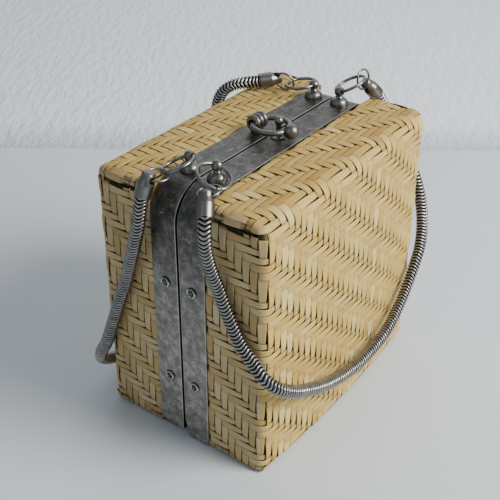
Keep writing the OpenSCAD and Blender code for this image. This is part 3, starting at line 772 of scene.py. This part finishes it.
# Crossers of face and ends, which end at the rim or at the band's edge, the uppermost just past the corners.
# Those of the top hang over the ends, those of the bottom stop short of them
def crosserParts():
    b = basket
    rows = np.arange(-b["rowCount"], b["rowCount"] + 1)
    places = spot(rows, *sideSpacing)
    rows = rows[(places > b["lowRow"] - b["height"] / 2) & (places < b["height"] / 2 - b["highRow"])]
    tall = b["height"] / 2 + rows * b["rowPitch"] > archZ - b["rowPitch"] / 2
    parts = [
        crosser(rows[~tall], -uRim, uRim),
        crosser(rows[tall][:-b["cornerRows"]], -uBand, uBand),
        crosser(rows[-b["cornerRows"]:], -uCorner, uCorner),
    ]
    top = np.arange(rows[-1] + 1, b["rowCount"] + b["topCount"] + 1)
    low = flap["low"] + flap["wave"] * np.sin(flap["waveStep"] * top + flap["waveStart"])
    low = low + rng.uniform(-flap["uneven"], flap["uneven"], (2, len(top)))
    drop = np.maximum(topPoint(0.0 * top, spot(top, *sideSpacing))[0][:, 2] - low, flap["leastDrop"])
    radius = flap["foldRadius"]
    hang = radius * np.arccos(np.clip(1 - drop / radius, 0, 1)) + np.maximum(drop - radius, 0)
    parts.append(crosser(top, -(foldStart + hang[0]), foldStart + hang[1], topPoint, flap["amber"]))
    bottom = np.arange(1 - rows[0], b["rowCount"] + b["bottomCount"] + 1)
    inset = b["halfWidth"] - b["bottomInset"]
    parts.append(crosser(-bottom, -inset, inset, bottomPoint))
    return joinParts(parts)


# Strips hidden under the band: they follow its arch at fixed depths and end a little above the floor
archStrip = dict(
    depths=np.array([4.2, 8.6, 13.0]), feet=np.array([4.0, 0.8, 0.8]), samples=360, pitch=4.4, height=-0.3,
)


def archParts():
    y = -archStrip["depths"][:, None]
    whole = archZ - archStrip["feet"][:, None] + basket["archRadius"] * quarterTurn + archX
    s = whole * np.linspace(-1, 1, archStrip["samples"])[None]
    x, down, turn = cornerLine(np.abs(s), archX, basket["archRadius"])
    point = np.stack(np.broadcast_arrays(np.sign(s) * x, y, basket["height"] - down), -1)
    out = np.stack(np.broadcast_arrays(np.sign(s) * np.sin(turn), 0 * y, np.cos(turn)), -1)
    pitch = np.full(len(y), archStrip["pitch"])
    return stripMesh(point, out, pitch, 0 * s + archStrip["height"], 0 * s, stripLooks(len(y)))


# Gusset between the band's round corner and the square corner of the basket: a thin plate at the band's edge.
# Its inner edge is an arc and its outer edge the square corner seen from the same centre
gusset = dict(
    fromEnds=0.02, steps=25, inside=1.2, outside=0.5, farthest=1.36, near=16.7, far=17.9, alongShift=300,
    acrossScale=0.3, tone=0.4,
)


def gussetParts():
    g = gusset
    radius = basket["archRadius"]
    a = np.linspace(g["fromEnds"], quarterTurn - g["fromEnds"], g["steps"])
    inner = radius - g["inside"]
    outer = np.minimum((radius - g["outside"]) / np.maximum(np.cos(a), np.sin(a)), radius * g["farthest"])
    corners = (inner, g["near"]), (outer, g["near"]), (outer, g["far"]), (inner, g["far"])
    count = len(corners)
    last = (len(a) - 1) * count
    ring = np.arange(count)
    quads = np.vstack([gridQuads(len(a), count), ring[::-1], last + ring])
    parts = []
    for sign in (-1, 1):
        rings = [
            np.stack([sign * (archX + r * np.cos(a)), 0 * a - depth, archZ + r * np.sin(a)], -1)
            for r, depth in corners
        ]
        points = np.stack(rings, 1).reshape(-1, 3)
        uv = np.stack([points[:, 0] + g["alongShift"], points[:, 2] * g["acrossScale"]], -1)
        faces = quads if sign < 0 else quads[:, ::-1]
        parts.append((points, faces, uv, np.full(len(points), g["tone"]), np.zeros(len(points))))
    return joinParts(parts)


def addWoven(name, body, parts, turn, replaced):
    points, faces, uv, tone, over = parts
    made = addMesh(name, points * turn, [faces], uv, {"tone": tone, "over": over})
    made.data.materials.append(bamboo)
    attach(made, body)
    if replaced:
        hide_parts(replaced)


# The rear half is the front half turned about the upright axis, with strips of its own tones
for half, turn in (("front", (1, 1, 1)), ("rear", (-1, -1, 1))):
    uprights, crossers, arch = uprightParts(), crosserParts(), archParts()
    uprights = joinParts([uprights, arch, gussetParts()])
    addWoven(f"{half}_uprights", f"{half}_half", uprights, turn, f"{half}_basket")
    addWoven(f"{half}_crossers", f"{half}_half", crossers, turn, None)
print("weave done")


# Bands, in millimetres: a channel section carried along the arch. Offsets are measured outwards from the
# basket's wall, depths from the seam, feet from the floor
band = dict(
    seam=0.3, edge=16.3, outer=1.1, inner=0.1, sheet=1.0, lipEdge=5.3, lipOut=-2.1, lipIn=-3.1,
    round=0.75, roundSteps=6, bevel=0.1, lipBevel=0.15, sheetBevel=0.2, hold=0.5,
    foot=dict(front=0.6, rear=3.8), swing=3.8, footHold=0.15,
    riseSteps=14, arcSteps=22, flatSteps=8, flatFrom=0.1,
)
# Worn outer edge as (inwards from the outer side, back from the edge, wear), and painted light by the angle
# on the seam's round: a painted highlight line, then painted shade darker into the seam
bandWearAndPaintedLight = dict(
    edge=np.array([(0.25, 0, 0.2), (0.07, 0.07, 0.35), (0, 0.28, 0.2), (0, 0.6, 0)]),
    line=0.8, lineAt=0.3, lineWide=0.2, darkFrom=0.45, darkRise=3,
)


# Section as rows of offset, depth, and wear with painted light: worn edge, seam's round with its painted
# highlight and shade, web in painted shade, lip and inner side
def bandSection():
    b, w = band, bandWearAndPaintedLight
    edge = np.array([b["outer"], b["edge"], 0]) - w["edge"] * (1, 1, -1)
    turn = np.linspace(0, quarterTurn, b["roundSteps"])
    # Painted highlight along the seam's round, then painted shade darker into the seam
    wearAndPaintedLight = w["line"] * np.exp(-((turn - w["lineAt"]) / w["lineWide"]) ** 2)
    wearAndPaintedLight = wearAndPaintedLight - np.clip((turn - w["darkFrom"]) * w["darkRise"], 0, 1)
    roundOut = b["outer"] - b["round"]
    roundEnd = b["seam"] + b["round"]
    seam = [roundOut + b["round"] * np.cos(turn), roundEnd - b["round"] * np.sin(turn), wearAndPaintedLight]
    # The web that faces the seam is in painted shade
    web = [(roundOut - b["hold"], -1), (b["lipIn"] + b["hold"], -1), (b["lipIn"] + b["lipBevel"], -1)]
    sheetBack = b["seam"] + b["sheet"]
    inside = [
        (b["lipIn"], b["seam"] + b["lipBevel"]), (b["lipIn"], b["seam"] + b["hold"]),
        (b["lipIn"], b["lipEdge"] - b["bevel"]), (b["lipIn"] + b["bevel"], b["lipEdge"]),
        (b["lipOut"] - b["bevel"], b["lipEdge"]), (b["lipOut"], b["lipEdge"] - b["bevel"]),
        (b["lipOut"], sheetBack + b["sheetBevel"]), (b["lipOut"] + b["bevel"], sheetBack),
        (b["inner"] - b["bevel"], sheetBack), (b["inner"], sheetBack + b["sheetBevel"]),
        (b["inner"], b["edge"] - b["bevel"]), (b["inner"] + b["bevel"], b["edge"]),
    ]
    return np.vstack([
        edge, [(b["outer"], roundEnd + b["hold"], 0)], np.transpose(seam),
        [(out, b["seam"], dark) for out, dark in web], [(out, depth, 0) for out, depth in inside],
    ])


# Along the arch a section's point lies at its offset outwards from the wall and at its depth from the seam.
# The front band's seam edge slants back near its foot, so that it clears the rear band as it swings
def addBand(half, sign):
    b = band
    offset, depth, wearAndPaintedLight = bandSection().T
    rise = archZ - b["foot"][half]
    quarter = basket["archRadius"] * quarterTurn
    stops = np.concatenate([
        [0, b["footHold"]],
        np.linspace(b["hold"], rise - b["hold"], b["riseSteps"]),
        rise + np.linspace(0, 1, b["arcSteps"]) * quarter,
        rise + quarter + np.linspace(b["flatFrom"], 1, b["flatSteps"]) * archX,
    ])
    left = stops - (rise + quarter + archX)
    s = np.concatenate([left, -left[-2::-1]])
    x, down, turn = cornerLine(np.abs(s)[:, None], archX, basket["archRadius"])
    way = np.sign(s)[:, None]
    px = way * x + offset * way * np.sin(turn)
    pz = basket["height"] - down + offset * np.cos(turn)
    py = depth + 0 * px
    if half == "front":
        low = np.maximum(b["seam"], b["swing"] - pz)
        share = (py - b["seam"]) / (b["lipEdge"] - b["seam"])
        py = np.where(share < 1, low + (b["lipEdge"] - low) * share, py)
    points = np.stack([px, sign * py, pz], -1).reshape(-1, 3)
    count = len(offset)
    ring = np.arange(count)
    faces = [gridQuads(len(s), count), np.stack([ring[::-1], (len(s) - 1) * count + ring])]
    if sign < 0:
        faces = [f[:, ::-1] for f in faces]
    made = addMesh(f"{half}_band", points, faces, marks={"edge": np.tile(wearAndPaintedLight, len(s))}, flatEnds=2)
    made.data.materials.append(bandMetal)
    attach(made, f"{half}_half")
    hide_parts(f"{half}_frame")


addBand("front", -1)
addBand("rear", 1)
print("bands done")


# CAD pieces that stay get their metals
def setMetal(names, metal):
    for name in names:
        slots = nodes[name].data.materials
        slots.clear()
        slots.append(metal)


corners = [f"{half}_{hand}" for half in ("rear", "front") for hand in ("left", "right")]
setMetal([f"{half}_hinge_{piece}" for half in ("rear", "front") for piece in ("rivets", "leaf")], sheetMetal)
setMetal(["rear_rivets", "front_rivets"], rivetMetal)
setMetal(["hinge_pin", "clasp_knuckle", "clasp_ring", "clasp_post"], fittingMetal)
setMetal([f"{c}_{piece}" for c in corners for piece in ("stud", "cap")], fittingMetal)
setMetal([f"{c}_{piece}" for c in corners for piece in ("ring", "link")], wireMetal)
print("fittings done")


# Stage, in metres: one pale floor. Behind the line that lies wallAway behind the box it has the wall's colour
# and grain, so that nothing stands in the way of a view from behind. The wall's colour darkens towards its
# foot as painted shade
stage = dict(
    size=4.0, floor=-0.0002, wallAway=0.278, wallLine=0.002, wallFade=0.16, wallFull=0.35,
    table=(0.61, 0.645, 0.68), wall=(0.80, 0.835, 0.87), foot=(0.5, 0.52, 0.57),
    rough=0.5, grain=(130.0, 4.0), flatten=0.38, bump=(0.5, 0.006),
    sky=(0.8, 0.9, 1.0), skyPower=0.3, lightsFrom=(0, 0, 0.075), lightsAim=(0, 0, 0.07),
)
# Round lamps: away towards the camera, to its side and up, in metres, and their power in watts
lights = [
    dict(name="key", away=0.35, beside=0.95, up=0.75, size=0.7, power=28.0, colour=(1.0, 0.985, 0.96)),
    dict(name="fill", away=0.9, beside=-0.7, up=0.8, size=1.2, power=1.8, colour=(0.85, 0.93, 1.0)),
    dict(name="back", away=-0.75, beside=0.1, up=0.6, size=1.5, power=5.0, colour=(0.95, 0.975, 1.0)),
]


# Right of the camera and level direction towards it
def levelAxes():
    right, _, back = cameraAxes()
    return right * (1, 1, 0), unit(back * (1, 1, 0))


def floorMaterial():
    made, tree, shader = newMaterial("floor")
    _, flat = levelAxes()
    line = float(np.dot(flat, camera["target"])) * mm - stage["wallAway"]
    place = objectPlace(tree)
    dot = addNode(tree, "ShaderNodeVectorMath", operation="DOT_PRODUCT")
    link(tree, place, dot.inputs[0])
    dot.inputs[1].default_value = tuple(flat)
    behind = addRange(tree, dot.outputs["Value"], (line, line - stage["wallLine"]))
    up = addRange(tree, dot.outputs["Value"], (line, line - stage["wallFade"]))
    turned = addStretch(tree, place, (1, 1, 1), (0, 0, -math.atan2(flat[1], flat[0])))
    grain = addNoise(tree, addStretch(tree, turned, (stage["flatten"], 1, 1)), *stage["grain"])
    # Painted shade at the wall's foot, fading up to the wall's colour
    wall = addRamp(tree, up, [(0.0, stage["foot"]), (stage["wallFull"], stage["wall"])])
    link(tree, addMix(tree, "MIX", behind, stage["table"], wall), shader.inputs["Base Color"])
    shader.inputs["Roughness"].default_value = stage["rough"]
    addBump(tree, shader, addProduct(tree, grain, behind), *stage["bump"])
    return made


def addFloor():
    size, z = stage["size"], stage["floor"]
    mesh = bpy.data.meshes.new("floor")
    corners = [(-size, -size, z), (size, -size, z), (size, size, z), (-size, size, z)]
    mesh.from_pydata(corners, [], [(0, 1, 2, 3)])
    made = bpy.data.objects.new("floor", mesh)
    bpy.context.scene.collection.objects.link(made)
    made.data.materials.append(floorMaterial())


def addLight(name, away, beside, up, size, power, colour):
    right, flat = levelAxes()
    place = np.array(stage["lightsFrom"]) + right * beside + flat * away + np.array([0, 0, up])
    data = bpy.data.lights.new(name, "AREA")
    data.shape = "DISK"
    data.size = size
    data.energy = power
    data.color = colour
    made = bpy.data.objects.new(name, data)
    back = unit(place - np.array(stage["lightsAim"]))
    x = unit(np.cross((0, 0, 1), back))
    made.matrix_world = placeMatrix(x, np.cross(back, x), back, place)
    bpy.context.scene.collection.objects.link(made)


def addSky():
    world = bpy.data.worlds.new("world")
    bpy.context.scene.world = world
    world.use_nodes = True
    sky = world.node_tree.nodes["Background"]
    sky.inputs["Color"].default_value = (*stage["sky"], 1)
    sky.inputs["Strength"].default_value = stage["skyPower"]


addFloor()
for light in lights:
    addLight(**light)
addSky()
print("stage done")
